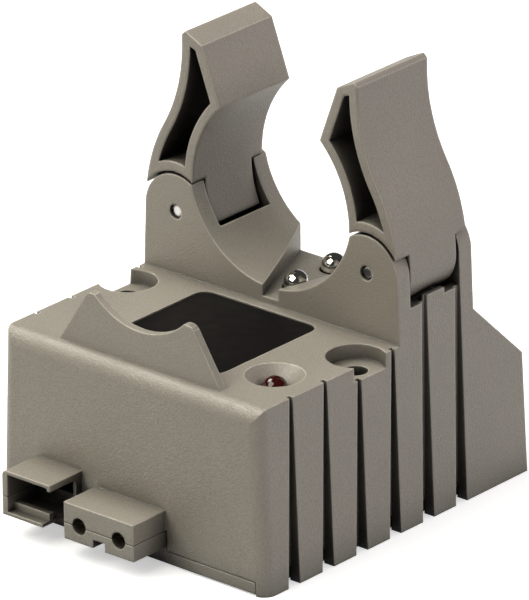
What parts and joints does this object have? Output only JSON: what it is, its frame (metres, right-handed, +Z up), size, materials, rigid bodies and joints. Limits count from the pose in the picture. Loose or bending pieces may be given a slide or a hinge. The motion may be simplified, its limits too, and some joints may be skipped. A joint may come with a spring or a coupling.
{
  "type": "flashlight charging cradle",
  "caption": "Charging cradle for a round-barrelled duty flashlight, with sprung clamp arms, a trough with charging contacts, a charge lamp and a plug block.",
  "frame": {"origin": "on the ground, under the middle of the whole footprint with the plug block", "axes": "+X to the right as seen from the front, -Y towards the front with the plug block, +Z up"},
  "size_m": [0.065, 0.0838, 0.0855],
  "materials": {
    "housing_plastic": "fine grained moulded warm grey plastic",
    "arm_plastic": "fine grained moulded warm grey plastic",
    "bright_steel": "ground pin steel",
    "spring_steel": "drawn spring wire",
    "contact_plating": "bright nickel plating, polished domes",
    "black_plastic": "moulded black insulator",
    "terminal_brass": "stamped and turned brass",
    "screw_steel": "zinc plated screws",
    "red_lamp": "clear deep red moulded lens",
    "label_film": "plain black label plate",
    "board_laminate": "green printed circuit laminate",
    "chip_case": "black moulded component cases",
    "capacitor_sleeve": "dark blue shrink sleeve",
    "resistor_coat": "tan coating",
    "red_insulation": "red wire insulation",
    "black_insulation": "black wire insulation"
  },
  "bodies": {
    "cradle": {"housing": "housing_plastic", "base_cover": "housing_plastic", "pin_left": "bright_steel", "pin_right": "bright_steel", "arm_spring_left": "spring_steel", "arm_spring_right": "spring_steel", "contact_spring_front": "spring_steel", "contact_spring_rear": "spring_steel", "contact_carrier": "black_plastic", "terminal_front": "terminal_brass", "terminal_rear": "terminal_brass", "carrier_screws": "screw_steel", "charge_lamp": "red_lamp", "lamp_leads": "bright_steel", "label_plate": "label_film", "circuit_board": "board_laminate", "control_chip": "chip_case", "power_transistor": "chip_case", "smoothing_capacitor": "capacitor_sleeve", "supply_diode": "chip_case", "resistors": "resistor_coat", "board_screws": "screw_steel", "socket_left": "terminal_brass", "socket_right": "terminal_brass", "supply_wire_red": "red_insulation", "supply_wire_black": "black_insulation", "charge_wire_red": "red_insulation", "charge_wire_black": "black_insulation", "cover_screws": "screw_steel"},
    "left_arm": {"arm_left": "arm_plastic"},
    "right_arm": {"arm_right": "arm_plastic"},
    "front_contact": {"contact_front": "contact_plating"},
    "rear_contact": {"contact_rear": "contact_plating"}
  },
  "joints": [
    {"name": "left_arm_hinge", "type": "hinge", "parent": "cradle", "child": "left_arm", "pos_m": [-0.02311, 0.01715, 0.0489], "axis": [0, -1, 0], "range_deg": [0, 30], "stiffness_Nm_per_rad": 0.3, "springref_deg": -11.46},
    {"name": "right_arm_hinge", "type": "hinge", "parent": "cradle", "child": "right_arm", "pos_m": [0.02311, 0.01715, 0.0489], "axis": [0, 1, 0], "range_deg": [0, 30], "stiffness_Nm_per_rad": 0.3, "springref_deg": -11.46},
    {"name": "front_contact_slide", "type": "slide", "parent": "cradle", "child": "front_contact", "axis": [0, 0, -1], "range_m": [0, 0.0014], "stiffness_N_per_m": 600, "springref_m": -0.0015, "deforming": ["contact_spring_front"]},
    {"name": "rear_contact_slide", "type": "slide", "parent": "cradle", "child": "rear_contact", "axis": [0, 0, -1], "range_m": [0, 0.0014], "stiffness_N_per_m": 600, "springref_m": -0.0015, "deforming": ["contact_spring_rear"]}
  ]
}
